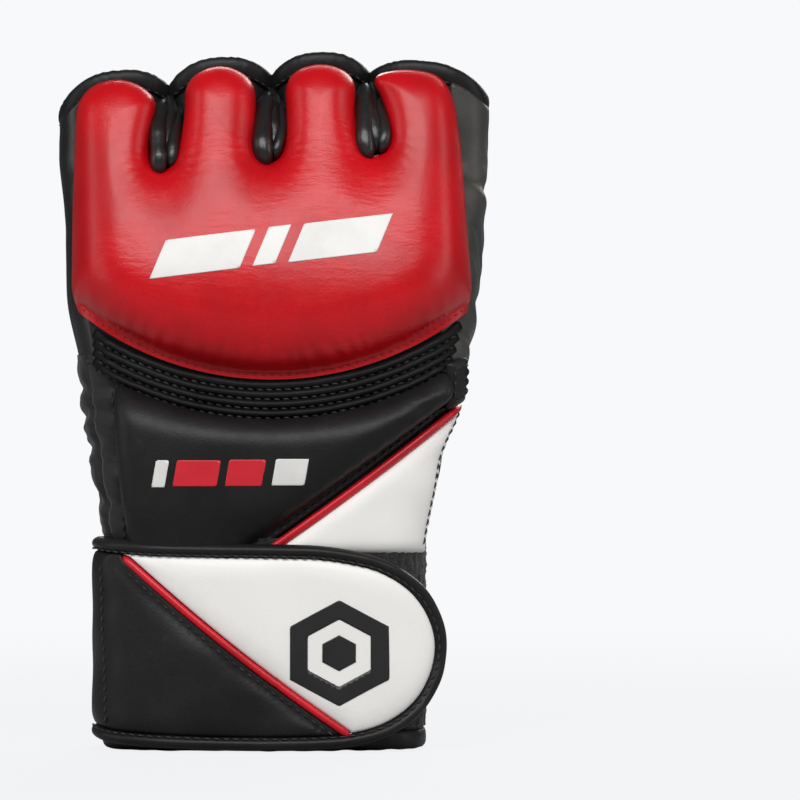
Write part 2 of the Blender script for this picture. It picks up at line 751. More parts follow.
def shieldHeight(points, distance=None):
    x, z = points[:, 0], points[:, 1]
    fromSide = lineDistance(points, shieldSides, closed=False)
    fromArc = lineDistance(points, arcLine, closed=False)
    sideShare = rounded(fromSide, shield["sideRound"], 2.9)
    sideShare = 0.78 * sideShare + 0.22 * np.sin(np.clip(fromSide / 17.0, 0, 1) * np.pi / 2)
    arcShare = rounded(fromArc - shield["hem"], shield["bottomRound"])
    full = paddingTable(z) - 1.6 * (np.abs(x) / 62) ** 2.5
    for slotX, slotZ, depth in shield["dips"]:
        above = between(slotZ - 34, slotZ - 1, z)
        full = full - depth * np.exp(-((x - slotX) / 8.5) ** 2) * above
        # fine creases that run out from the bottom of the slot
        awayX, awayZ = x - slotX, z - (slotZ + 4)
        reach = np.hypot(awayX, awayZ)
        fan = np.sin(np.arctan2(awayZ, awayX) * 21 + np.sin(reach * 0.5 + slotX) * 1.6)
        full = full + 0.20 * fan * np.exp(-((reach - 8.0) / 3.6) ** 2) * (1 - between(3, 9, awayZ))
    hemHeight = shield["hemHeight"]
    height = hemHeight * np.minimum(sideShare * 3, 1) + (full - hemHeight) * sideShare * arcShare
    room = np.stack([x, z, z * 0], 1)
    pucker = np.sin(x * 2 * np.pi / 5.2 + 2.2 * waves(room, 30, 3))
    pucker = pucker * np.exp(-((fromArc - shield["hem"] - 3.5) / 3.8) ** 2)
    height = height + 0.24 * pucker * sideShare
    height = height + 0.30 * waves(room, 46, 5) * sideShare * arcShare
    return height


shieldPad = patch("knuckle_shield", shieldOutline, shieldHeight, onBack, redLeather, spacing=1.15,
                  rings=(0.06, 0.2, 0.45, 0.8, 1.3, 1.9, 2.7))
finish(onHand(shieldPad), "leather_red", "shield_cover", "shield_foam")
hemLine = arcLine + inwardNormals(arcLine, closed=False) * 1.45
hemPath = surfaceRow(hemLine, shieldHeight(hemLine) + 0.02, onBack)
shieldThread = stitches("shield_hem_stitches", [hemPath], redThread, pitch=2.7, length=2.0, radius=0.3)
finish(onHand(shieldThread), "leather_red")
print("shield made", len(shieldPad.data.vertices))


# ---- form of the finger loops ----

fingers = [
    dict(name="little", low=(-51.0, 18.0), centre=-50.2, wide=17.0, peak=210.9, side=7.6, lean=3.3,
         palmDrop=14.0),
    dict(name="ring", low=(-16.6, 16.6), centre=-16.6, wide=16.2, peak=215.2, side=7.0, lean=1.4,
         palmDrop=11.5),
    dict(name="middle", low=(14.9, 15.7), centre=14.8, wide=15.3, peak=216.8, side=6.4, lean=0.8,
         palmDrop=11.5),
    dict(name="index", low=(49.3, 19.1), centre=49.0, wide=18.2, peak=213.9, side=6.2, lean=-3.2,
         palmDrop=14.5),
]
fingerForm = dict(start=158.0, open=186.0, middleY=10.2, deep=12.9, lowPower=3.6, power=2.5, wall=1.6,
                  wallTop=204.0, underRim=2.2)
rimForm = dict(wide=2.0, tall=3.1, out=0.3, wrinkle=0.09)


def fingerSection(finger, z):
    m = between(fingerForm["start"], fingerForm["open"], z)
    _, _, middleY, halfDeep = handMiddle(z)
    lowX, lowWide = finger["low"]
    x = lowX + (finger["centre"] - lowX) * m
    wide = lowWide - 0.8 + (finger["wide"] - lowWide + 0.8) * m
    y = middleY + (fingerForm["middleY"] - middleY) * m
    deep = halfDeep - 0.9 + (fingerForm["deep"] - halfDeep + 0.9) * m
    power = fingerForm["lowPower"] + (fingerForm["power"] - fingerForm["lowPower"]) * m
    return x, wide, y, deep, power


def fingerPoint(finger, angle, z, grow=0.0):
    x, wide, y, deep, power = fingerSection(finger, z)
    c, s = np.cos(angle), np.sin(angle)
    px = x + (wide + grow) * squared(c, 2 / power)
    py = y + (deep + grow) * squared(s, 2 / power)
    # low down, the loop stays just under the hand's own surface
    middleX, halfWide, middleY, halfDeep = handMiddle(z)
    u, v = (px - middleX) / (halfWide - 1), (py - middleY) / (halfDeep - 1)
    over = np.maximum((np.abs(u) ** hand["power"] + np.abs(v) ** hand["power"]) ** (1 / hand["power"]), 1)
    free = between(168, 190, z)
    px = middleX + (px - middleX) * (1 / over + (1 - 1 / over) * free)
    py = middleY + (py - middleY) * (1 / over + (1 - 1 / over) * free)
    return np.stack(np.broadcast_arrays(px, py, z), -1)


def rimHeight(finger, angle):
    # highest at the back of the finger, lower between fingers, lowest at the palm
    f = -np.sin(angle)
    sides = finger["side"] * (1 - np.maximum(f, 0) ** 2)
    palmExtra = (finger["palmDrop"] - finger["side"]) * np.minimum(f, 0) ** 2
    return finger["peak"] - sides - palmExtra + finger["lean"] * np.cos(angle)


def palmY(x, z):
    # the palm's surface, hand below and finger loops above
    flat = faceY(x, z, 1)
    m = between(163, 176, z)
    best = np.full(np.shape(x), -50.0)
    for finger in fingers:
        fx, wide, y, deep, power = fingerSection(finger, z)
        u = np.clip(np.abs(x - fx) / wide, 0, 0.985)
        best = np.maximum(best, y + deep * (1 - u ** power) ** (1 / power))
    best = best * between(168, 190, z) + np.minimum(best, flat) * (1 - between(168, 190, z))
    return flat + (best + 0.5 - flat) * m


def ontoLoop(finger, points, grow):
    # above the knuckles, points of the hand's wall move over to the finger's loop, and up to its rim
    z, start, top = points[..., 2], fingerForm["open"], fingerForm["wallTop"]
    x, wide, y, deep, power = fingerSection(finger, z)
    u, v = (points[..., 0] - x) / wide, (points[..., 1] - y) / deep
    angle = np.arctan2(squared(v, power / 2), squared(u, power / 2))
    reach = rimHeight(finger, angle) - fingerForm["underRim"] - top
    over = fingerPoint(finger, angle, z + reach * np.clip((z - start) / (top - start), 0, 1), grow)
    away = np.hypot(over[..., 0] - x, over[..., 1] - y) - np.hypot(points[..., 0] - x, points[..., 1] - y)
    share = np.maximum(between(170, 187, z), between(-0.9, 0.2, away) * between(158, 164, z))[..., None]
    return points * (1 - share) + over * share


# ---- walls of the hand: little side, back, thumb side ----

def handWall(name, low, high, bottom, top, material, thick=1.5, proud=0.0, ripple=None, step=1.6,
             finger=None):
    # a panel of the hand between two angles, in degrees, and two heights
    length = sum(np.linalg.norm(np.diff(ringPoint(np.radians(np.linspace(low, high, 60)), 110.0), axis=0),
                                axis=1))
    angles = evenAngles(math.radians(low), math.radians(high), max(int(length / step), 6))
    heights = np.linspace(bottom, top, int((top - bottom) / step) + 2)
    z, angle = np.meshgrid(heights, angles, indexing="ij")
    lift = np.full(z.shape, proud, float)
    if ripple is not None:
        lift = lift + ripple(ringPoint(angle, z, lift), np.degrees(angle))
    outer, inner = ringPoint(angle, z, lift), ringPoint(angle, z, proud - thick)
    if finger is not None:
        # the top of the panel lies on the finger's loop and reaches its rim
        outer = ontoLoop(finger, outer, 1.3 + 0.4 * lift)
        inner = ontoLoop(finger, inner, -0.4)
    return closedGrid(name, outer, inner, material)


def edgeFade(value, low, high, soft):
    return between(low, low + soft, value) * (1 - between(high - soft, high, value))


def littleGather(at, angle):
    # level pleats drawn in by elastic, in two upright strips with a seam between
    z = at[..., 2]
    strip = between(-137, -134, angle)
    sway = z + 4.2 * waves(at * (1, 1, 0.5), 26, 11) + 5.0 * strip
    pleat = 1 - np.abs(np.cos(sway * np.pi / 11.5)) ** 4
    small = np.sin(sway * 2 * np.pi / 4.1 + 2 * waves(at, 12, 13))
    seam = np.exp(-((angle + 135.5) / 2.6) ** 2) + np.exp(-((angle + 158) / 2.6) ** 2)
    low = between(62, 68, z) * (1 - between(100, 126, z) * (1 - 0.5 * between(-150, -160, angle)))
    low = low * (1 - between(104, 114, z) * between(-140, -134, angle))
    swell = 2.5 * np.clip(1 - seam, 0, 1) * low * (0.5 + 0.5 * strip) * (1 + 0.4 * waves(at, 22, 14))
    ruffled = 0.16 * small - 0.7 * seam + 0.3 * waves(at, 9, 12)
    return swell * (0.05 + 0.95 * pleat) + ruffled * low - 0.5 * (1 - low)


def indexGusset(at, angle):
    # soft leather that has creased slantwise
    z = at[..., 2]
    slant = z * 0.75 + at[..., 1] * 0.9
    folds = np.sin(slant * 2 * np.pi / 24 + 1.8 * waves(at, 44, 21))
    small = np.sin(slant * 2 * np.pi / 8.5 + 2.2 * waves(at, 24, 22))
    fade = edgeFade(z, 114, 214, 14)
    return fade * (0.6 * folds + 0.15 * small + 0.22 * waves(at, 13, 23)) + 0.1


def stripSwell(at, angle):
    return 0.5 * waves(at, 34, 31) + 0.22 * waves(at, 11, 32) * between(165, 195, at[..., 2])


def thumbSideSwell(at, angle):
    z = at[..., 2]
    return 0.35 * waves(at, 24, 41) + 0.2 * np.sin(z * 2 * np.pi / 7) * edgeFade(z, 92, 116, 5)


backBase = handWall("back_base", -150, -37, 61, 184, blackLeather, proud=-0.1, step=2.2)
finish(onHand(backBase), "leather_black", "back_of_hand_base", "knuckle_base")
littleStrip = handWall("little_side_strip", -204, -146, 121, 204, glossLeather, ripple=stripSwell,
                       finger=fingers[0])
finish(onHand(littleStrip), "leather_black", "little_side_panel")
gather = handWall("little_side_gather", -204, -118, 61, 124, stretchFabric, proud=0.15,
                  ripple=littleGather, step=0.9)
finish(onHand(gather), "stretch_black", "little_side_stretch_panel", "little_side_fold")
gusset = handWall("index_side_gusset", -40, 24, 116, 204, sideLeather, ripple=indexGusset, step=1.1,
                  finger=fingers[3])
finish(onHand(gusset), "leather_black", "index_side_panel", "thumb_side_fold")
thumbSide = handWall("thumb_side_wall", -40, 24, 61, 119, blackLeather, proud=0.2, ripple=thumbSideSwell)
finish(onHand(thumbSide), "leather_black", "thumb_side_panel")


def wallRow(angle, bottom, top, proud, step=1.0):
    # an upright row of points and normals on the hand's wall
    heights = np.arange(bottom, top, step)
    turn = np.full(len(heights), math.radians(angle))
    finger = fingers[3] if angle > -90 else fingers[0]
    path = ontoLoop(finger, ringPoint(turn, heights, proud), 1.2 + proud)
    normals = ontoLoop(finger, ringPoint(turn, heights, proud + 1.0), 2.2 + proud) - path
    return path, normals


# on the thumb side, on the little side and down the middle of the gather
wallRows = [wallRow(21, 72, 184, 1.2), wallRow(-201, 72, 184, 1.2), wallRow(-135.5, 70, 116, 0.4)]
wallThread = stitches("side_wall_stitches", wallRows, blackThread)
finish(onHand(wallThread), "leather_black")
wallSeams = [(22.5, 62, 186), (-202.5, 62, 186)]
for number, (angle, bottom, top) in enumerate(wallSeams):
    path, normals = wallRow(angle, bottom, top, 0.7, step=1.6)
    cord = roll("side_seam_%d" % (number + 1), path, normals, blackLeather, 1.1, 0.9, closed=False,
                around=8, taper=3)
    finish(onHand(cord), "leather_black")
print("walls made")


# ---- finger loops ----

loopThread = []
for number, finger in enumerate(fingers):
    columns = 96
    angles = evenAngles(-math.pi, math.pi, columns + 1, 2.6, 16.0, 13.0)[:-1]
    rise = np.linspace(0, 1, 40)
    top = rimHeight(finger, angles)
    z = fingerForm["start"] + rise[:, None] * (top - fingerForm["start"])[None]
    angle = np.broadcast_to(angles, z.shape)
    outer = fingerPoint(finger, angle, z)
    below = np.maximum(top[None] - z, 0)
    gatherWave = np.sin(angles * 23 + 2.5 * waves(outer, 14, 50 + number)) * np.exp(-below / 5.0) * 0.16
    crease = 0.55 * waves(outer * (1, 1, 1.8), 15, 60 + number)
    crease = crease * between(172, 186, z) * (0.25 + between(4, 14, below))
    outer = fingerPoint(finger, angle, z, gatherWave + crease * 0.8)
    inner = fingerPoint(finger, angle, z, -fingerForm["wall"])
    loop = closedGrid(finger["name"] + "_loop", outer, inner, glossLeather, ring=True)
    finish(onHand(loop), "leather_black", finger["name"] + "_finger_loop")

    rimAngles = evenAngles(-math.pi, math.pi, 161, 2.6, 16.0, 13.0)[:-1]
    rimZ = rimHeight(finger, rimAngles)
    rimPath = fingerPoint(finger, rimAngles, rimZ, -fingerForm["wall"] / 2 + rimForm["out"])
    rimBelow = fingerPoint(finger, rimAngles, rimZ - 4, -fingerForm["wall"] / 2 + rimForm["out"])

    def rimWrinkles(points, seed=number):
        turn = np.arctan2(points[..., 1] - 10, points[..., 0] - fingers[seed]["centre"])
        pulled = np.sin(turn * 27 + 3 * waves(points, 9, 80 + seed))
        return (rimForm["wrinkle"] * 0.45 * pulled * (0.4 + 0.6 * waves(points, 12, 90 + seed)))[..., None]

    rim = roll(finger["name"] + "_rim", rimPath, rimPath - rimBelow, blackLeather, rimForm["wide"],
               rimForm["tall"],
               around=22, power=2.3, rough=rimWrinkles)
    finish(onHand(rim), "binding_black", finger["name"] + "_rim_binding")
    stitchZ = rimZ - rimForm["tall"] + 0.4
    path = fingerPoint(finger, rimAngles, stitchZ, 0.95)
    normals = fingerPoint(finger, rimAngles, stitchZ, 2.0) - path
    loopThread.append((path, normals))
rimThread = stitches("finger_rim_stitches", loopThread, blackThread, pitch=2.9, length=2.1, radius=0.3)
finish(onHand(rimThread), "binding_black")

# folded leather between neighbouring loops
webs = dict(
    bottom=(180.5, 183.3, 185.4), tall=(24.5, 24.0, 24.0),
    # across, up, forward and radius of each fold
    backFolds=[(-1.7, 0.0, -3.4, 3.2), (2.9, 2.0, -2.2, 2.0), (0.4, 2.5, 1.0, 2.6)],
    palmFolds=[(-2.0, -9.0, 0.0, 2.0), (2.2, -8.0, 0.4, 2.1), (0.1, -5.0, -1.4, 2.2)],
)
for number, (first, second) in enumerate(zip(fingers, fingers[1:])):
    node = "web_%s_%s" % (first["name"], second["name"])
    slotX = shield["dips"][number][0]
    topX = (first["centre"] + first["wide"] + second["centre"] - second["wide"]) / 2
    rise = np.linspace(0, 1, 40)
    bottom, tall = webs["bottom"][number], webs["tall"][number]
    for side, folds in enumerate((webs["backFolds"], webs["palmFolds"])):
        for k, (offset, lower, forward, radius) in enumerate(folds):
            if side == 0:
                z = bottom + lower + (tall - lower * 0.6 - 3.0 * (k == 1)) * rise
                x = slotX + (topX - slotX) * rise + offset * (0.75 + 0.45 * np.sin(rise * math.pi)) \
                    + 0.5 * np.sin(rise * 6 + k * 2 + number * 2)
                y = -15.5 + forward * 0.6 + 19.0 * rise ** 1.9 + 1.4 * np.maximum(0, 0.12 - rise) / 0.12
            else:
                z = 176.0 + lower * 0.5 + (27.0 + lower * 0.3) * rise
                x = topX + offset * (0.35 + 0.65 * rise) + 0.5 * np.sin(rise * 5 + k + number)
                y = 20.6 - 1.6 * rise + forward * 0.7
            path = np.stack([x, y, z], 1)

            def crumple(points, seed=number * 7 + k + side * 3):
                small = 0.02 * waves(points, 4, 120 + seed)
                return (0.10 * waves(points * (1, 1, 0.6), 12, 100 + seed) + small)[..., None]

            fold = roll("%s_fold_%d_%d" % (node, side + 1, k + 1), path, (0, 1, 0), glossLeather, radius,
                        radius * 1.1,
                        closed=False, around=18, power=2.0, taper=9, rough=crumple)
            finish(onHand(fold), "leather_black", *([node] if side == 0 and k == 0 else []))
print("finger loops made")


# ---- palm ----

palm = dict(
    hole=dict(centre=(-10.0, 120.0), long=44.0, short=37.0, tilt=40.0),
    thumbHole=dict(centre=(31.5, 96.0), long=23.5, short=18.5, tilt=129.0),
    slots=[((-37.5, 199), (-36.2, 184), (-33.4, 171.5), (-30.8, 184), (-29.8, 203)),
           ((-4.4, 204), (-3.2, 186), (-0.8, 170.5), (1.7, 186), (2.6, 205)),
           ((26.6, 204), (28.0, 185), (30.4, 169.0), (33.3, 184), (35.0, 197))],
    bottom=61.0, seamAngle=17.0, thick=1.5,
)


def onPalmWrap(points, height):
    p, z = points[:, 0], points[:, 1]
    place = ringPoint(wrapAngle(p, z), z, height)
    over = palmY(place[:, 0], z) - faceY(place[:, 0], z, 1)
    place[:, 1] += over * between(160, 168, z) * between(4.0, 12.0, place[:, 1] - 4)
    return place


def oval(centre, long, short, tilt, grow=0.0, count=120):
    turn = np.linspace(0, 2 * np.pi, count, endpoint=False)
    lean = math.radians(tilt)
    a, b = (long + grow) * np.cos(turn), (short + grow) * np.sin(turn)
    return np.stack([centre[0] + a * math.cos(lean) - b * math.sin(lean),
                     centre[1] + a * math.sin(lean) + b * math.cos(lean)], 1)


def ovalShare(points, centre, long, short, tilt):
    # 1 on the oval
    lean = math.radians(tilt)
    x, z = points[:, 0] - centre[0], points[:, 1] - centre[1]
    a = x * math.cos(lean) + z * math.sin(lean)
    b = -x * math.sin(lean) + z * math.cos(lean)
    return np.sqrt((a / long) ** 2 + (b / short) ** 2)


def seamPlace(z):
    # how far along the section the side seams lie
    _, halfWide, _, _ = handMiddle(z)
    return np.interp(math.radians(palm["seamAngle"]), wrapAngles, wrapRun) * halfWide / wrapWide


sideUp = [(float(seamPlace(z)), z) for z in (palm["bottom"], 75, 90, 105, 120, 135, 150)]
rightLine = sideUp + [(63.5, 168), (61.0, 184), (60.0, 193)]
leftLine = [(-x, z) for x, z in sideUp] + [(-64.0, 168), (-61.5, 184), (-60.5, 193)]
palmLine = rightLine + [(52, 195.5), (40, 195.5)]
for line in palm["slots"][::-1]:
    palmLine += [tuple(p) for p in line[::-1]]
palmLine += [(-44, 195.5), (-54, 195.0)] + leftLine[::-1]
palmOutline = softCurve(palmLine, 1.0, closed=True, turns=2)
holeLine = oval(**palm["hole"])
thumbLine = oval(**palm["thumbHole"])
palmGaps = [holeLine, thumbLine]


def palmSkin(points, distance):
    at = flatRoom(points)
    nearHole = (ovalShare(points, **palm["hole"]) - 1) * 40
    stretch = np.sin(points[:, 1] * 2 * np.pi / 9 + 2 * waves(at, 30, 131))
    stretch = stretch * np.exp(-((points[:, 1] - 172) / 12) ** 2)
    swell = 0.8 * waves(at, 44, 132) + 0.35 * waves(at * (1, 1.6, 1), 17, 133) + 0.28 * stretch
    sunk = np.exp(-((nearHole - 7.2) / 1.3) ** 2) * 0.45
    return palm["thick"] + (swell - sunk) * between(0, 7, distance) * between(0, 5, nearHole) * 0.8


palmPanel = patch("palm_panel", palmOutline, palmSkin, onPalmWrap, blackLeather, spacing=1.5,
                  rings=(0.5, 1.4, 2.6), gaps=palmGaps)
finish(onHand(palmPanel), "leather_black", "palm_lower", "palm_upper", "little_side_fold")


def palmRows(line, height=1.75, closed=False):
    path = onPalmWrap(line, height)
    normals = onPalmWrap(line, height + 1.0) - path
    return path, normals


def apart(line, keep):
    # the longest stretch of a closed line where keep holds
    start = int(np.argmin(keep)) if not keep.all() else 0
    line, keep = np.roll(line, -start, axis=0), np.roll(keep, -start)
    best, run = (0, 0), None
    for k, held in enumerate(list(keep) + [False]):
        if held and run is None:
            run = k
        if not held and run is not None:
            best = max(best, (k - run, run))
            run = None
    return line[best[1]:best[1] + best[0]]


rollLine = oval(**palm["hole"], grow=1.6, count=230)
rollLine = apart(rollLine, ovalShare(rollLine, **palm["thumbHole"]) > 0.97)
rollPath, rollUp = palmRows(rollLine, 1.0)
holeRoll = roll("palm_hole_binding", rollPath, rollUp, blackLeather, 3.3, 2.3, closed=False, around=20,
                power=2.2, taper=4,
                rough=lambda p: (0.05 * np.sin(np.arctan2(p[..., 2] - 120, p[..., 0] + 10) * 85)
                                 * (0.5 + waves(p, 10, 141))
                                 + 0.05 * waves(p, 7, 142))[..., None])
finish(onHand(holeRoll), "binding_black", "palm_binding_lower", "palm_binding_upper")
ringLine = oval(**palm["hole"], grow=7.4, count=230)
ringLine = apart(ringLine, ovalShare(ringLine, **palm["thumbHole"]) > 1.05)
slotRows = []
for line in palm["slots"]:
    curve = softCurve(line, 1.0, turns=2)
    side = inwardNormals(curve, closed=False)
    slotRows.append(palmRows(curve + side * 1.6))
palmThread = stitches("palm_stitches", [palmRows(ringLine, 1.55)] + slotRows, blackThread)
finish(onHand(palmThread), "binding_black")
for number, line in enumerate(palm["slots"]):
    path, up = palmRows(softCurve(line, 1.0, turns=2), 1.0)
    edge = roll("palm_slot_edge_%d" % (number + 1), path, up, blackLeather, 0.9, 1.0, closed=False,
                around=8, taper=3)
    finish(onHand(edge), "leather_black")
print("palm made")


# ---- lining ----

def liningWall(name, low, high, bottom, top, depth, node=None):
    angles = evenAngles(math.radians(low), math.radians(high), 70)
    heights = np.linspace(bottom, top, 70)
    z, angle = np.meshgrid(heights, angles, indexing="ij")
    quilt = 0.35 * waves(ringPoint(angle, z), 16, 151)
    made = closedGrid(name, ringPoint(angle, z, -depth), ringPoint(angle, z, -depth - 0.9 + quilt),
                      liningFabric)
    finish(onHand(made), "lining_black", *([node] if node else []))


liningWall("lining_back", -212, 32, 66, 176, 1.9, "lining_lower")
liningPalm = patch("lining_palm", palmOutline, lambda p, d: np.full(len(p), -0.7), onPalmWrap,
                   liningFabric, spacing=2.6,
                   rings=(1.2,), base=-1.5, gaps=palmGaps)
finish(onHand(liningPalm), "lining_black", "lining_upper")


# ---- back pad, ribs, piping and white corner ----

def shieldArc(x, drop):
    # the curve of the shield's lower edge, moved down by drop
    radius, half = 100.7, 60.5
    rise = np.sqrt(radius ** 2 - np.clip(np.abs(x), 0, half + 12) ** 2)
    return shield["arcLowest"] - drop + radius - rise


back = dict(padDrop=12.2, topLeft=-47.4, topRight=52.6, lowLeft=-43.4, bottom=61.5, thick=8.2,
            roundness=11.0,
            pipingHigh=(57.6, 108.4), pipingLow=(-2.8, 62.0), pipingSag=0.8, pipingRadius=1.25, margin=4.2,
            rowAway=2.7)
pipeRun = np.linspace(0, 1, 60)
pipeLine = np.stack([
    back["pipingHigh"][0] + (back["pipingLow"][0] - back["pipingHigh"][0]) * pipeRun,
    back["pipingHigh"][1] + (back["pipingLow"][1] - back["pipingHigh"][1]) * pipeRun - back["pipingSag"]
    * np.sin(pipeRun * np.pi),
], 1)
pipeLine = backRun(pipeLine)
topX = np.linspace(back["topRight"], back["topLeft"], 80)
topLine = backRun(np.stack([topX, shieldArc(topX, back["padDrop"])], 1))
leftLine = backRun([(back["topLeft"], topLine[-1, 1]), (-46.4, 104), (-45.0, 88), (back["lowLeft"], 70),
                    (back["lowLeft"], back["bottom"])])
padPipe = pipeLine[pipeLine[:, 0] < topLine[0, 0]]
padOutline = resample(np.vstack([padPipe[::-1] + (-0.7, 0.7), topLine, leftLine[1:]]), 1.0, closed=True)


def padHeight(points, distance):
    fromPiping = lineDistance(points, pipeLine, closed=False)
    fromTop = lineDistance(points, topLine, closed=False)
    fromLeft = lineDistance(points, leftLine, closed=False)

    share = rounded(fromPiping - back["margin"], back["roundness"]) * rounded(fromTop, 10.0)
    share = share * rounded(topLine[0, 0] + 0.8 - points[:, 0], 5.0)
    share = share * rounded(fromLeft - 0.6, back["roundness"])
    low = between(back["bottom"] - 6, back["bottom"] + 17, points[:, 1])
    at = flatRoom(points)
    swell = back["thick"] * (0.42 + 0.58 * low) + 0.4 * waves(at, 34, 161)
    pulls = 0.25 * np.sin(points[:, 0] * 2 * np.pi / 5)
    pulls = pulls * np.exp(-((fromPiping - back["margin"] - 1.5) / 2.2) ** 2)
    creases = 0.35 * waves(at * (1, 2.4, 1), 12, 162)
    creases = creases * between(30, 48, points[:, 0]) * between(96, 106, points[:, 1])
    return 1.7 * np.minimum(distance / 0.5, 1) + (swell + pulls + creases) * share


backPad = patch("back_pad", padOutline, padHeight, onBackWrap, blackLeather, spacing=1.4,
                rings=(0.3, 0.8, 1.5, 2.4))
finish(onHand(backPad), "leather_black", "back_pad_cover", "back_pad_foam")
pipePath, pipeUp = backRow(pipeLine + (0.35, -0.45), np.full(len(pipeLine), 1.9))
pipe = roll("back_piping", pipePath, pipeUp, pipingLeather, back["pipingRadius"] * 1.05,
            back["pipingRadius"], closed=False,
            around=14, power=2.0, taper=2)
finish(onHand(pipe), "piping_red", "red_piping")
pipeThreadLine = pipeLine[2:-2] + np.array([-0.63, 0.77]) * back["rowAway"]
rowHeight = padHeight(pipeThreadLine, np.full(len(pipeThreadLine), back["rowAway"]))
backRows = [backRow(pipeThreadLine, rowHeight + 0.1)]

ribs = dict(count=4, firstDrop=0.4, pitch=2.95, width=2.9, height=1.5, left=-55.0, right=58.5)
for number in range(ribs["count"]):
    x = np.linspace(ribs["left"], ribs["right"] - number * 0.9, 130)
    line = backRun(np.stack([x, shieldArc(x, ribs["firstDrop"] + number * ribs["pitch"])], 1))
    down = -inwardNormals(line, closed=False)
    at = flatRoom(line)
    pinch = 0.12 * np.sin(x * 2 * np.pi / 5.3 + 2 * waves(at, 24, 175 + number))
    ripple = 0.30 * waves(at, 15, 170 + number) + pinch

    def ribForm(share, ripple=ripple, number=number):
        ends = np.minimum(np.arange(len(ripple)), np.arange(len(ripple))[::-1]) / 6.0
        crown = (1 - abs(2 * share - 1) ** 2.2) ** 0.6
        return 0.3 + (ribs["height"] + number * 0.25 + ripple) * crown * np.clip(ends, 0.15, 1)

    made = ribbon("flex_rib_%d" % (number + 1), line, down, ribs["width"], ribForm, onBackWrap,
                  deepLeather, across=9, under=-0.6)
    nodes = ["flex_rib_%d" % (number + 1)] if number < 3 else []
    finish(onHand(made), "leather_black", *nodes)
    threadLine = line + down * (ribs["width"] * 0.97)
    backRows.append(backRow(threadLine[3:-3], np.full(len(line) - 6, 1.0 + 0.1 * number)))

tab = dict(x=(52.6, 57.2), z=(108.2, 123.0), thick=3.2)
tabLine = backRun([(tab["x"][0], tab["z"][0] - 1.5), (tab["x"][1], tab["z"][0] + 1.2),
                   (tab["x"][1] + 1.2, tab["z"][1]), (tab["x"][0] + 0.4, tab["z"][1] - 2)])
tabPiece = patch("side_tab", resample(tabLine, 0.8, closed=True),
                 lambda p, d: tab["thick"] + 0.8 * between(0, 1.2, d), onBackWrap,
                 blackLeather, spacing=1.0, rings=(0.3, 0.8))
finish(onHand(tabPiece), "leather_black")
tabThread = resample(tabLine * 0.72 + tabLine.mean(0) * 0.28, 0.8, closed=True)
backRows.append(backRow(tabThread, np.full(len(tabThread), tab["thick"] + 0.9)))

white = dict(edge=[(57.0, 107.5), (54.9, 101), (52.4, 95), (50.6, 88.6), (48.7, 79), (47.3, 71),
                   (46.4, 66), (46.0, 61.5)],
             thick=2.9, roundness=4.5, rowInset=2.9)
whiteLine = resample(backRun(softCurve(white["edge"], 1.0)), 0.8)
whiteRow = whiteLine - inwardNormals(whiteLine, closed=False) * white["rowInset"]
scallop = 0.5 * np.sin(np.arange(len(whiteLine)) * 2 * np.pi / 3.4)
whiteLine = whiteLine + inwardNormals(whiteLine, closed=False) * scallop[:, None]
whiteOutline = resample(np.vstack([whiteLine, pipeLine[::-1][1:] + (1.1, -1.35)]), 0.9, closed=True)


def whiteHeight(points, distance):
    at = flatRoom(points)
    crown = rounded(distance, white["roundness"])
    return 0.9 + (white["thick"] + 0.25 * waves(at, 22, 181)) * crown


whiteCorner = patch("white_corner", whiteOutline, whiteHeight, onBackWrap, whiteLeather, spacing=1.2,
                    rings=(0.25, 0.7, 1.3, 2.0))
finish(onHand(whiteCorner), "leather_white", "white_corner_panel")
rowHeight = whiteHeight(whiteRow, np.full(len(whiteRow), white["rowInset"]))[3:-3]
backRows.append(backRow(whiteRow[3:-3], rowHeight + 0.05))
leftRow = resample(leftLine, 1.0)[2:-4] + (-1.2, 0)
backRows.append(backRow(leftRow, np.full(len(leftRow), 2.0)))
backThread = stitches("back_stitches", backRows, blackThread, pitch=2.9)
finish(onHand(backThread), "leather_black")
leftSeamPath, leftSeamUp = backRow(leftRow + (0.9, 0), np.full(len(leftRow), 0.9))
finish(onHand(roll("pad_left_seam", leftSeamPath, leftSeamUp, blackLeather, 0.9, 1.2, closed=False,
                   around=8, taper=3)), "leather_black")
print("back made")


# ---- cuff, its binding, the loop patch and the wrist band ----

cuff = dict(sides=(-52.5, 47.0, -23.0, 23.5), power=3.2, bottom=1.2, top=68.4, wall=3.0, bindTall=3.3,
            bindWide=2.5)
flap = dict(sides=(-53.6, 57.0, -25.8, 25.0), power=3.2)


def bandPoint(form, angle, z, grow=0.0):
    left, right, low, high = form["sides"]
    c, s = np.cos(angle), np.sin(angle)
    share = 2 / form["power"]
    x = (left + right) / 2 + ((right - left) / 2 + grow) * squared(c, share)
    y = (low + high) / 2 + ((high - low) / 2 + grow) * squared(s, share)
    return np.stack(np.broadcast_arrays(x, y, z), -1)


def bandGrid(name, form, low, high, bottom, top, outerGrow, innerGrow, material, ring=False, across=None,
             step=1.4):
    angles = evenAngles(math.radians(low), math.radians(high), across or 200, form["power"], 50.0, 23.0)
    if ring:
        angles = angles[:-1]
    heights = np.linspace(bottom, top, max(int((top - bottom) / step), 4) + 1)
    z, angle = np.meshgrid(heights, angles, indexing="ij")
    outer = bandPoint(form, angle, z, outerGrow(z, angle) if callable(outerGrow) else outerGrow)
    inner = bandPoint(form, angle, z, innerGrow(z, angle) if callable(innerGrow) else innerGrow)
    return closedGrid(name, outer, inner, material, ring=ring)


bandReach = 45      # turns an angle round the cuff into millimetres


def bandRoom(z, angle):
    # places round the cuff as room points, for waves
    return np.stack([angle * bandReach, z, z * 0], -1)


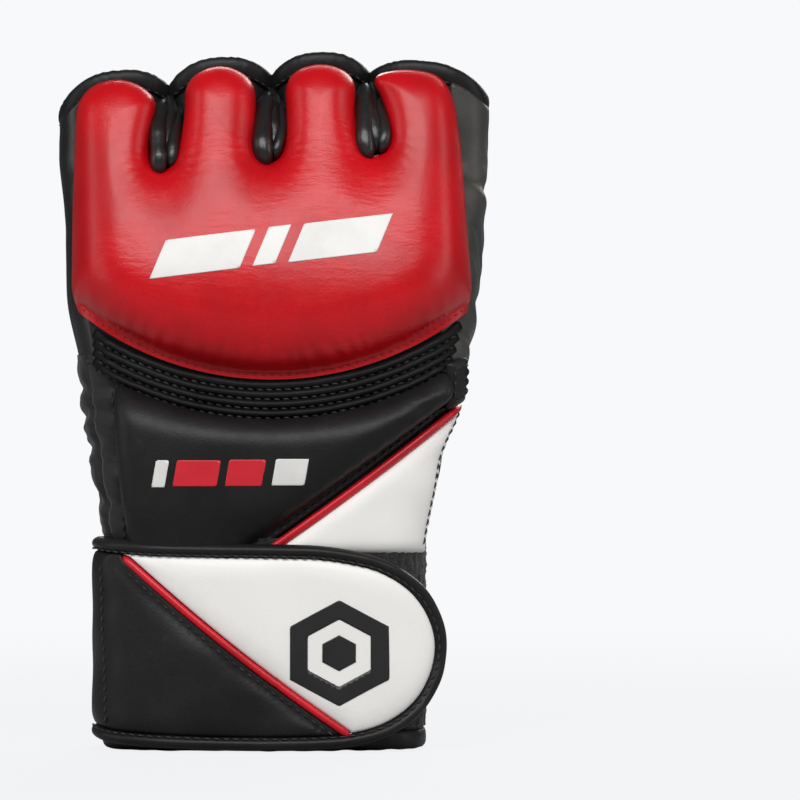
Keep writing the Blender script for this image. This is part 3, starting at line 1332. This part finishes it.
def cuffSwell(z, angle):
    at = bandRoom(z, angle)
    return 0.25 * waves(at, 26, 191) - 1.2 * between(63.5, 68.4, z)


cuffWall = bandGrid("cuff_wall", cuff, -180, 180, cuff["bottom"], cuff["top"], cuffSwell,
                    -cuff["wall"] + 0.9, blackLeather, ring=True)
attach(finish(cuffWall, "leather_black", "cuff"), "hand")
cuffInside = bandGrid("cuff_inside", cuff, -180, 180, cuff["bottom"] + 1, cuff["top"] - 1,
                      -cuff["wall"] + 0.8,
                      lambda z, a: -cuff["wall"] - 0.2 + 0.2 * waves(bandRoom(z, a), 12, 192),
                      liningFabric, ring=True)
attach(finish(cuffInside, "lining_black", "cuff_lining"), "hand")
turns = evenAngles(-math.pi, math.pi, 241, cuff["power"], 50.0, 23.0)[:-1]
bindPath = bandPoint(cuff, turns, cuff["bindTall"] + 0.05, -1.0)
binding = roll("cuff_rim", bindPath, (0, 0, 1), blackLeather, cuff["bindWide"], cuff["bindTall"],
               around=18, power=2.5,
               rough=lambda p: 0.035 * waves(p, 9, 193)[..., None])
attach(finish(binding, "binding_black", "cuff_binding"), "hand")
cuffRow = bandPoint(cuff, turns, cuff["bindTall"] * 2 + 0.3, 0.35)
cuffNormal = bandPoint(cuff, turns, cuff["bindTall"] * 2 + 0.3, 1.35) - cuffRow
cuffThread = stitches("cuff_stitches", [(cuffRow, cuffNormal)], blackThread)
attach(finish(cuffThread, "binding_black"), "hand")


def pileForm(z, angle):
    at = bandRoom(z, angle)
    return 1.25 + 0.22 * waves(at, 2.6, 201) + 0.15 * waves(at, 6, 202)


loopPatch = bandGrid("loop_patch_pile", cuff, -103, 47, 7, 66.5, pileForm, 0.1, loopPile, across=190,
                     step=0.9)
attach(finish(loopPatch, "loop_fabric", "loop_patch"), "hand")

band = dict(low=62.0, high=212.0, bottom=3.0, top=65.6, grow=0.5, thick=2.3, lines=(9.2, 11.6, 57.2, 59.6))


def bandForm(z, angle):
    at = bandRoom(z, angle)
    edge = np.minimum(np.minimum(z - band["bottom"], band["top"] - z),
                      (angle - math.radians(band["low"])) * bandReach)
    crown = rounded(edge, 2.2, 2)
    groove = sum(np.exp(-((z - line) / 0.8) ** 2) for line in band["lines"])
    inside = between(12, 16, z) * (1 - between(53, 57, z))
    swell = (0.45 * waves(at, 22, 203) + 0.2 * waves(at, 9, 204)) * inside
    return band["grow"] + band["thick"] * crown - 0.42 * groove + swell


wristBand = bandGrid("wrist_band_strap", cuff, band["low"], band["high"], band["bottom"], band["top"],
                     bandForm, band["grow"],
                     blackLeather, across=230, step=0.8)
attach(finish(wristBand, "leather_black", "wrist_band"), "hand")
bandAngles = evenAngles(math.radians(band["low"] + 2), math.radians(200), 220, cuff["power"], 50.0, 23.0)
bandRows = []
for line in band["lines"]:
    z = np.full(len(bandAngles), line)
    path = bandPoint(cuff, bandAngles, z, bandForm(z, bandAngles) + 0.1)
    bandRows.append((path, bandPoint(cuff, bandAngles, z, bandForm(z, bandAngles) + 1.1) - path))

boxPatch = dict(low=(-18.5, 22.6), high=(19.0, 47.2), thick=1.5)


def onBand(points, height):
    x, z = points[:, 0], points[:, 1]
    left, right, low, high = cuff["sides"]
    u = np.clip(np.abs(x - (left + right) / 2) / ((right - left) / 2), 0, 0.999)
    y = (low + high) / 2 + (high - low) / 2 * (1 - u ** cuff["power"]) ** (1 / cuff["power"])
    return np.stack([x, y + band["grow"] + height, z], 1)


boxLine = np.array([boxPatch["low"], (boxPatch["high"][0] + 0.8, boxPatch["low"][1] + 0.6),
                    boxPatch["high"],
                    (boxPatch["low"][0], boxPatch["high"][1] - 0.4)])
boxPad = patch("wrist_band_box", resample(boxLine, 1.0, closed=True),
               lambda p, d: band["thick"] - 0.35 + boxPatch["thick"] * rounded(d, 5.0, 2),
               onBand, blackLeather, spacing=1.3, base=band["thick"] - 1.2)
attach(finish(boxPad, "leather_black", "wrist_band_patch"), "hand")
boxRow = resample(boxLine + np.sign(boxLine - boxLine.mean(0)) * 0.5, 0.9, closed=True)
boxRow = np.vstack([boxRow, boxRow[:1]])
boxPath = onBand(boxRow, np.full(len(boxRow), band["thick"] + 0.2))
bandRows.append((boxPath, np.tile([0.0, 1.0, 0.0], (len(boxRow), 1))))
bandThread = stitches("wrist_band_stitches", bandRows, blackThread, pitch=3.2, radius=0.36)
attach(finish(bandThread, "leather_black"), "hand")
print("cuff made")


# ---- closing strap ----

flapAngles = np.linspace(-math.pi * 1.12, 0.0, 2400)
flapSide = bandPoint(flap, flapAngles, 0.0)
flapRun = np.concatenate([[0], np.cumsum(np.linalg.norm(np.diff(flapSide, axis=0), axis=1))])
flapRun = flapRun - np.interp(-math.pi / 2, flapAngles, flapRun)


def onFlap(points, height):
    # the first number is the distance round the wrist from the middle of the front
    angle = np.interp(points[:, 0], flapRun, flapAngles)
    return bandPoint(flap, angle, points[:, 1], height)


def along(x):
    # distance round the wrist of a place seen at x from the front
    front = (flapAngles > -math.pi * 0.985) & (flapAngles < -0.05)
    return np.interp(x, flapSide[front, 0], flapRun[front])


def alongLine(points):
    points = np.asarray(points, float)
    return np.stack([along(points[:, 0]), points[:, 1]], 1)


strap = dict(
    hinge=float(np.interp(-math.pi + math.asin(0.035), flapAngles, flapRun)),
    top=[(-49, 66.3), (-40, 65.6), (-29, 65.1), (8, 64.7), (17, 64.2), (24, 63.0)],
    tip=[(32, 61.2), (39, 57.8), (45, 53.2), (49.2, 47.4), (51.9, 40.6), (52.9, 33.5), (52.2, 26.0),
         (50.2, 19.5), (46.9, 13.4),
         (41.5, 8.0), (34.5, 4.0), (26, 1.6)],
    low=[(16, 0.6), (-3, 0.25), (-29, 0.8), (-48, 2.0)],
    edge=4.9, inset=1.2, back=1.3, rise=3.1, edgeLift=0.5,
)
strapOpen = np.vstack([[(strap["hinge"], 66.6), (strap["hinge"] + 8, 67.0)],
                       alongLine(strap["top"] + strap["tip"] + strap["low"]),
                       [(strap["hinge"] + 8, 3.2), (strap["hinge"], 3.6)]])
strapEdge = softCurve(strapOpen, 1.0)


def strapInner(gap):
    # the strap's edge line, moved inwards
    return strapEdge - inwardNormals(strapEdge, closed=False) * gap


strapBody = patch("strap_body", resample(strapInner(strap["inset"]), 1.2, closed=True),
                  lambda p, d: np.full(len(p), strap["back"]), onFlap,
                  blackLeather, spacing=2.4, rings=(1.2,), base=0.05)
finish(onStrap(strapBody), "leather_black", "strap_backing")


def edgeForm(share):
    at = flatRoom(strapEdge)
    crown = 1 - abs(2 * share - 0.86) ** 2.4 * 0.9 if share > 0.02 else 0.30
    dip = 0.62 if share > 0.97 else 1.0
    return strap["edgeLift"] + (strap["rise"] + 0.12 * waves(at, 10, 211)) * max(crown, 0.3) * dip


strapRim = ribbon("strap_rim", strapEdge, -inwardNormals(strapEdge, closed=False), strap["edge"], edgeForm,
                  onFlap, blackLeather,
                  across=15, under=-0.25)
finish(onStrap(strapRim), "binding_black", "strap_edge_binding")
innerLine = strapInner(strap["edge"] - 0.5)
strapPipe = dict(high=(-44.4, 60.7), low=(23.8, 5.0), sag=2.0, radius=1.2, lift=0.95, hem=3.0)
run = np.linspace(0, 1, 70)
strapPipeLine = np.stack([
    strapPipe["high"][0] + (strapPipe["low"][0] - strapPipe["high"][0]) * run,
    strapPipe["high"][1] + (strapPipe["low"][1] - strapPipe["high"][1]) * run - strapPipe["sag"]
    * np.sin(run * np.pi),
], 1)
strapPipeFlat = alongLine(strapPipeLine)
gapToPipe = np.sign((strapPipeFlat[-1, 0] - strapPipeFlat[0, 0]) * (innerLine[:, 1] - strapPipeFlat[0, 1])
                    - (strapPipeFlat[-1, 1] - strapPipeFlat[0, 1])
                    * (innerLine[:, 0] - strapPipeFlat[0, 0]))
whiteSide = innerLine[gapToPipe > 0]
whiteField = np.vstack([whiteSide, strapPipeFlat[::-1] + (0.9, 0.9)])
whiteField = whiteField[(whiteField[:, 1] < 61.6) & (whiteField[:, 1] > 3.4)]
blackSide = innerLine[(gapToPipe < 0) & (innerLine[:, 0] < 40)]
firstLow = blackSide[blackSide[:, 1] > 33]
lastLow = blackSide[blackSide[:, 1] <= 33]
blackField = np.vstack([firstLow, strapPipeFlat + (-0.7, -0.7), lastLow])


def fieldForm(thick, roundness, seed):
    def form(points, distance):
        at = flatRoom(points)
        crown = rounded(distance, roundness, 2.1)
        return strap["back"] + 0.5 + (thick + 0.3 * waves(at, 24, seed)) * crown
    return form


whiteForm = fieldForm(1.9, 7.0, 221)
whiteLoop = resample(whiteField, 1.0, closed=True)
strapWhite = patch("strap_white_field", whiteLoop, whiteForm, onFlap, whiteLeather,
                   spacing=1.3, rings=(0.3, 0.8, 1.6, 2.6), base=strap["back"] - 0.3)
finish(onStrap(strapWhite), "leather_white", "strap_white_panel")
puffy = fieldForm(1.7, 6.5, 222)


def blackForm(points, distance):
    # a flat stitched hem beside the piping
    fromPipe = lineDistance(points, strapPipeFlat, closed=False) - 0.7
    hem = strap["back"] + 0.5 + 0.5 * np.minimum(distance / 0.5, 1)
    return np.where(fromPipe < strapPipe["hem"], hem,
                    puffy(points, np.minimum(distance, fromPipe - strapPipe["hem"])))


strapBlack = patch("strap_black_field", resample(blackField, 1.0, closed=True), blackForm, onFlap,
                   blackLeather,
                   spacing=1.2, rings=(0.3, 0.8, 1.6, 2.6), base=strap["back"] - 0.3)
finish(onStrap(strapBlack), "leather_black", "strap_black_panel")


def flapRow(line, height):
    path = onFlap(line, height)
    return path, onFlap(line, height + 1.0) - path


pipePath, pipeUp = flapRow(strapPipeFlat, np.full(len(strapPipeFlat), strap["back"] + strapPipe["lift"]))
strapPiping = roll("strap_piping", pipePath, pipeUp, pipingLeather, strapPipe["radius"],
                   strapPipe["radius"], closed=False,
                   around=14, power=2.0, taper=2)
finish(onStrap(strapPiping), "piping_red", "strap_red_piping")
edgeRow = strapInner(strap["edge"] - 1.15)
offLine = strapPipeFlat[3:-3] + (-1.75, -2.15)
uprightZ = np.arange(8, 59.0)
uprightLine = np.stack([along(-50.2 + 1.2 * (59 - uprightZ) / 51), uprightZ], 1)
strapRows = [
    flapRow(edgeRow, np.full(len(edgeRow), strap["back"] + 1.75)),
    flapRow(offLine, np.full(len(offLine), strap["back"] + 1.05)),
    flapRow(uprightLine, puffy(uprightLine, np.full(len(uprightLine), 6.0)) + 0.05),
]
strapThread = stitches("strap_stitches", strapRows, blackThread, pitch=3.0, radius=0.34)
finish(onStrap(strapThread), "binding_black")
hookLine = alongLine([(-6, 10), (36, 10), (36, 56), (-6, 56)])
hookPatch = patch("strap_hook_tape", resample(hookLine, 1.2, closed=True),
                  lambda p, d: np.full(len(p), 0.1), onFlap, hookPile,
                  spacing=1.6, rings=(0.6,), base=lambda p: -0.95 + 0.12 * waves(flatRoom(p), 1.6, 231))
finish(onStrap(hookPatch), "hook_tape", "hook_patch")
print("strap made")


# ---- thumb ----

thumb = dict(base=(35.0, 19.0, 92.0), way=(-0.46, 0.68, 0.56), across=(0.56, 0.0, 0.46), length=52.0,
             baseRadii=(20.6, 18.2), mouthRadii=(16.4, 14.6), rootMiddle=5.0, rootLean=15.0,
             rootLeast=-10.0,
             footReach=17.0, rimWide=2.3, rimTall=3.4, wall=1.6)
thumbWay = np.array(thumb["way"]) / np.linalg.norm(thumb["way"])
thumbAcross = np.array(thumb["across"]) / np.linalg.norm(thumb["across"])
thumbUp = np.cross(thumbWay, thumbAcross)


def thumbPoint(distance):
    return np.array(thumb["base"]) + thumbWay * distance


def thumbRoot(angle):
    # how far along the sleeve's own line it leaves the palm
    return np.maximum(thumb["rootMiddle"] - thumb["rootLean"] * np.sin(angle), thumb["rootLeast"])


def thumbGrid(angle, distance, grow=0.0):
    share = between(-8, 50, distance)
    wide = thumb["baseRadii"][0] + (thumb["mouthRadii"][0] - thumb["baseRadii"][0]) * share
    deep = thumb["baseRadii"][1] + (thumb["mouthRadii"][1] - thumb["baseRadii"][1]) * share
    middle = np.asarray(thumb["base"]) + distance[..., None] * thumbWay
    tube = middle + (np.cos(angle) * (wide + grow))[..., None] * thumbAcross \
        + (np.sin(angle) * (deep + grow))[..., None] * thumbUp
    # the foot spreads on to the palm round the sleeve's opening
    gap, lean = palm["thumbHole"], math.radians(palm["thumbHole"]["tilt"])
    a = -np.sin(angle) * (gap["long"] + 2.2 + grow)
    b = -np.cos(angle) * (gap["short"] + 2.2 + grow)
    foot = np.stack([gap["centre"][0] + a * math.cos(lean) - b * math.sin(lean),
                     gap["centre"][1] + a * math.sin(lean) + b * math.cos(lean)], -1)
    foot = onPalmWrap(foot.reshape(-1, 2), 1.2).reshape(tube.shape)
    up = between(0, thumb["footReach"], distance - thumbRoot(angle))[..., None]
    return foot * (1 - up) + tube * up


def thumbCreases(at, angle, distance):
    slant = distance * 0.8 + 9 * np.sin(angle + 0.6)
    folds = np.sin(slant * 2 * np.pi / 12 + 2.2 * waves(at, 30, 241))
    fine = np.sin(slant * 2 * np.pi / 5 + 2.6 * waves(at, 18, 242))
    folds = 0.5 * folds * between(2, 14, distance - thumbRoot(angle)) * (1 - between(38, 50, distance))
    return folds + 0.16 * fine + 0.5 * waves(at, 26, 243)


turn = np.linspace(-np.pi, np.pi, 111)[:-1]
share, angle = np.meshgrid(np.linspace(0, 1, 60), turn, indexing="ij")
distance = thumbRoot(angle) + (thumb["length"] - 1 - thumbRoot(angle)) * share
outer = thumbGrid(angle, distance)
outer = thumbGrid(angle, distance, thumbCreases(outer, angle, distance))
inner = thumbGrid(angle, distance, -thumb["wall"])
sleeve = closedGrid("thumb_sleeve_leather", outer, inner, blackLeather, ring=True)
finish(onThumb(sleeve), "leather_black", "thumb_sleeve", "thumb_soft_ring", "thumb_collar")
insideWall = closedGrid("thumb_lining", thumbGrid(angle, distance, -thumb["wall"] - 0.05),
                        thumbGrid(angle, distance, -thumb["wall"] - 0.7 + 0.2 * waves(outer, 9, 245)),
                        liningFabric, ring=True)
finish(onThumb(insideWall), "lining_black")
rimTurn = np.linspace(-np.pi, np.pi, 181)[:-1]
rimDistance = thumb["length"] - 1.5 + 0.8 * np.sin(rimTurn * 2 + 0.5)
rimPath = thumbGrid(rimTurn, rimDistance, -0.2)


def thumbRimWrinkles(points):
    way = points - thumbPoint(50)
    turn = np.arctan2(way @ thumbUp, way @ thumbAcross)
    return (0.07 * np.sin(turn * 46 + 3 * waves(points, 9, 251)) * (0.5 + 0.5 * waves(points, 12, 252))
            + 0.04 * waves(points, 6, 253))[..., None]


thumbRim = roll("thumb_rim", rimPath, thumbWay, blackLeather, thumb["rimWide"], thumb["rimTall"],
                around=22, power=2.2,
                rough=thumbRimWrinkles)
finish(onThumb(thumbRim), "binding_black", "thumb_rim_binding")
rimRow = thumbGrid(rimTurn, rimDistance - thumb["rimTall"] - 0.2, 0.5)
rimNormal = thumbGrid(rimTurn, rimDistance - thumb["rimTall"] - 0.2, 1.5) - rimRow
thumbSeamTurn = np.full(40, 1.15)
seamDistance = np.linspace(6, 45, 40)
seamRow = thumbGrid(thumbSeamTurn, seamDistance, 0.9)
seamNormal = thumbGrid(thumbSeamTurn, seamDistance, 1.9) - seamRow
thumbThread = stitches("thumb_stitches", [(rimRow, rimNormal), (seamRow, seamNormal)], blackThread,
                       pitch=2.8, radius=0.3)
finish(onThumb(thumbThread), "leather_black")
basePath = thumbGrid(rimTurn, thumbRoot(rimTurn), 0.9)
baseSeam = roll("thumb_base_seam", basePath, (0, 1, 0), blackLeather, 1.3, 1.2, around=12)
finish(onHand(baseSeam), "leather_black")
print("thumb made")


# ---- printed marks: plain shapes ----

prints = dict(bars=[(-37.5, -9.5, 147.2), (-5.5, 1.5, 151.2), (5.5, 33.0, 152.3)], barHeight=12.2,
              barSlant=5.0, rise=0.12, film=0.16)


def shieldFilm(points, distance):
    return shieldHeight(points) + prints["film"]


for number, (left, right, low) in enumerate(prints["bars"]):
    corners = [(left, low), (right, low + (right - left) * prints["rise"]),
               (right + prints["barSlant"], low + (right - left) * prints["rise"] + prints["barHeight"]),
               (left + prints["barSlant"], low + prints["barHeight"])]
    bar = patch("shield_bar_%d" % (number + 1), resample(corners, 1.0, closed=True), shieldFilm, onBack,
                whiteInk,
                spacing=1.3, rings=(0.3, 0.8), base=lambda p: shieldHeight(p) - 0.3)
    finish(onHand(bar), "leather_red")


def padFilm(points, distance):
    return padHeight(points, np.full(len(points), 20.0)) + prints["film"]


dashes = [(-31.2, -27.9, 82.6, 91.0, whiteInk), (-25.8, -14.4, 82.9, 91.0, redInk),
          (-12.2, -2.6, 83.0, 91.2, redInk),
          (0.0, 8.6, 83.2, 91.4, whiteInk)]
for number, (left, right, low, high, film) in enumerate(dashes):
    lean = 1.2
    corners = [(left, low), (right, low), (right + lean, high), (left + lean, high)]
    dash = patch("pad_dash_%d" % (number + 1), backRun(resample(corners, 0.8, closed=True)), padFilm,
                 onBackWrap, film, spacing=1.1,
                 rings=(0.3,), base=lambda p: padHeight(p, np.full(len(p), 20.0)) - 0.3)
    finish(onHand(dash), "leather_black")

emblem = dict(centre=(20.0, 31.0), outer=16.5, inner=10.5, core=5.6)


def hexagon(radius, lean=math.radians(30)):
    turn = np.linspace(0, 2 * np.pi, 7)[:-1] + lean
    return np.stack([emblem["centre"][0] + radius * np.cos(turn),
                     emblem["centre"][1] + radius * np.sin(turn)], 1)


def emblemFilm(points, distance):
    return whiteForm(points, lineDistance(points, whiteLoop)) + prints["film"]


for name, line, gaps in (("strap_emblem_ring", hexagon(emblem["outer"]),
                          [alongLine(resample(hexagon(emblem["inner"]), 0.8, closed=True))]),
                         ("strap_emblem_core", hexagon(emblem["core"]), [])):
    flat = alongLine(resample(line, 0.8, closed=True))
    mark = patch(name, flat, emblemFilm, onFlap, blackInk, spacing=1.1, rings=(0.3,),
                 base=lambda p: emblemFilm(p, None) - 0.45, gaps=gaps)
    finish(onStrap(mark), "leather_white")
print("marks made")


# ---- light, floor and camera ----

def lamp(name, place, aim, size, power):
    data = bpy.data.lights.new(name, "AREA")
    data.shape = "RECTANGLE"
    data.size, data.size_y = size
    data.energy = power
    made = bpy.data.objects.new(name, data)
    made.location = place
    made.rotation_euler = (Vector(aim) - Vector(place)).to_track_quat("-Z", "Y").to_euler()
    bpy.context.scene.collection.objects.link(made)
    return made


studio = dict(
    viewWidth=0.25, nearFace=-0.036, distance=1.5, across=0.0403, height=0.1097,
    lamps=[
        ("topLamp", (-0.05, -0.95, 0.88), (0, 0, 0.14), (1.5, 0.5), 17.5),
        ("leftLamp", (-1.05, -0.30, 0.42), (0, 0, 0.12), (0.30, 0.9), 2.1),
        ("rightLamp", (1.05, -0.30, 0.38), (0, 0, 0.12), (0.30, 0.9), 2.5),
        ("backLamp", (0.25, 1.0, 0.75), (0, 0, 0.12), (1.1, 0.6), 15.0),
    ],
    worldLight=0.10, paper=(0.94, 0.945, 0.96, 1.0), floorColour=(0.34, 0.345, 0.35, 1.0), floorGlow=0.90,
)
for entry in studio["lamps"]:
    lamp(*entry)

scene = bpy.context.scene
world = bpy.data.worlds.new("paleRoom")
scene.world = world
world.use_nodes = True
sky = Nodes(world.node_tree)
dim = sky.tree.nodes["Background"]
dim.inputs["Strength"].default_value = studio["worldLight"]
dim.inputs["Color"].default_value = (1, 1, 1, 1)
plain = sky.node("ShaderNodeBackground", None, {"Color": studio["paper"]})
seen = sky.node("ShaderNodeMath", {"operation": "MAXIMUM"}, {
    0: sky.node("ShaderNodeLightPath", output="Is Camera Ray"),
    1: sky.node("ShaderNodeLightPath", output="Is Transmission Ray"),
})
choose = sky.node("ShaderNodeMixShader", None, {0: seen, 1: Wire(sky, dim.outputs[0]), 2: plain})
sky.feed(sky.tree.nodes["World Output"].inputs[0], choose)

floorMesh = bpy.data.meshes.new("floor")
reach = 6.0
floorMesh.from_pydata([(-reach, -reach, 0), (reach, -reach, 0), (reach, reach, 0), (-reach, reach, 0)], [],
                      [(0, 1, 2, 3)])
floor = bpy.data.objects.new("floor", floorMesh)
floor.location.z = cadBox[0][2] - 0.0002
scene.collection.objects.link(floor)
floorFinish = Finish("floorPaper")
grains = floorFinish.noise(30, 2.0)
floorFinish.set(Base_Color=floorFinish.mix(shade(studio["floorColour"], 0.98),
                                           shade(studio["floorColour"], 1.02), grains), Roughness=0.9)
away = floorFinish.node("ShaderNodeVectorMath", {"operation": "LENGTH"}, {0: floorFinish.where()},
                        output=1)
glow = floorFinish.node("ShaderNodeEmission", None, {"Color": studio["paper"], "Strength": 1.0})
cameraRay = floorFinish.node("ShaderNodeLightPath", output="Is Camera Ray")
lit = cameraRay * (away.within(0.15, 0.9) * (1 - studio["floorGlow"]) + studio["floorGlow"])
surface = Wire(floorFinish, floorFinish.shader.outputs[0])
seenFloor = floorFinish.node("ShaderNodeMixShader", None, {0: lit, 1: surface, 2: glow})
floorFinish.feed(floorFinish.tree.nodes["Material Output"].inputs[0], seenFloor)
floorMesh.materials.append(floorFinish.material)

lens = bpy.data.cameras.new("camera")
lens.sensor_width = 36.0
lens.lens = lens.sensor_width * studio["distance"] / studio["viewWidth"]
lens.clip_end = 50
camera = bpy.data.objects.new("camera", lens)
camera.location = (studio["across"], studio["nearFace"] - studio["distance"], studio["height"])
camera.rotation_euler = (math.radians(90), 0, 0)
scene.collection.objects.link(camera)
scene.camera = camera
scene.view_settings.view_transform = "Standard"
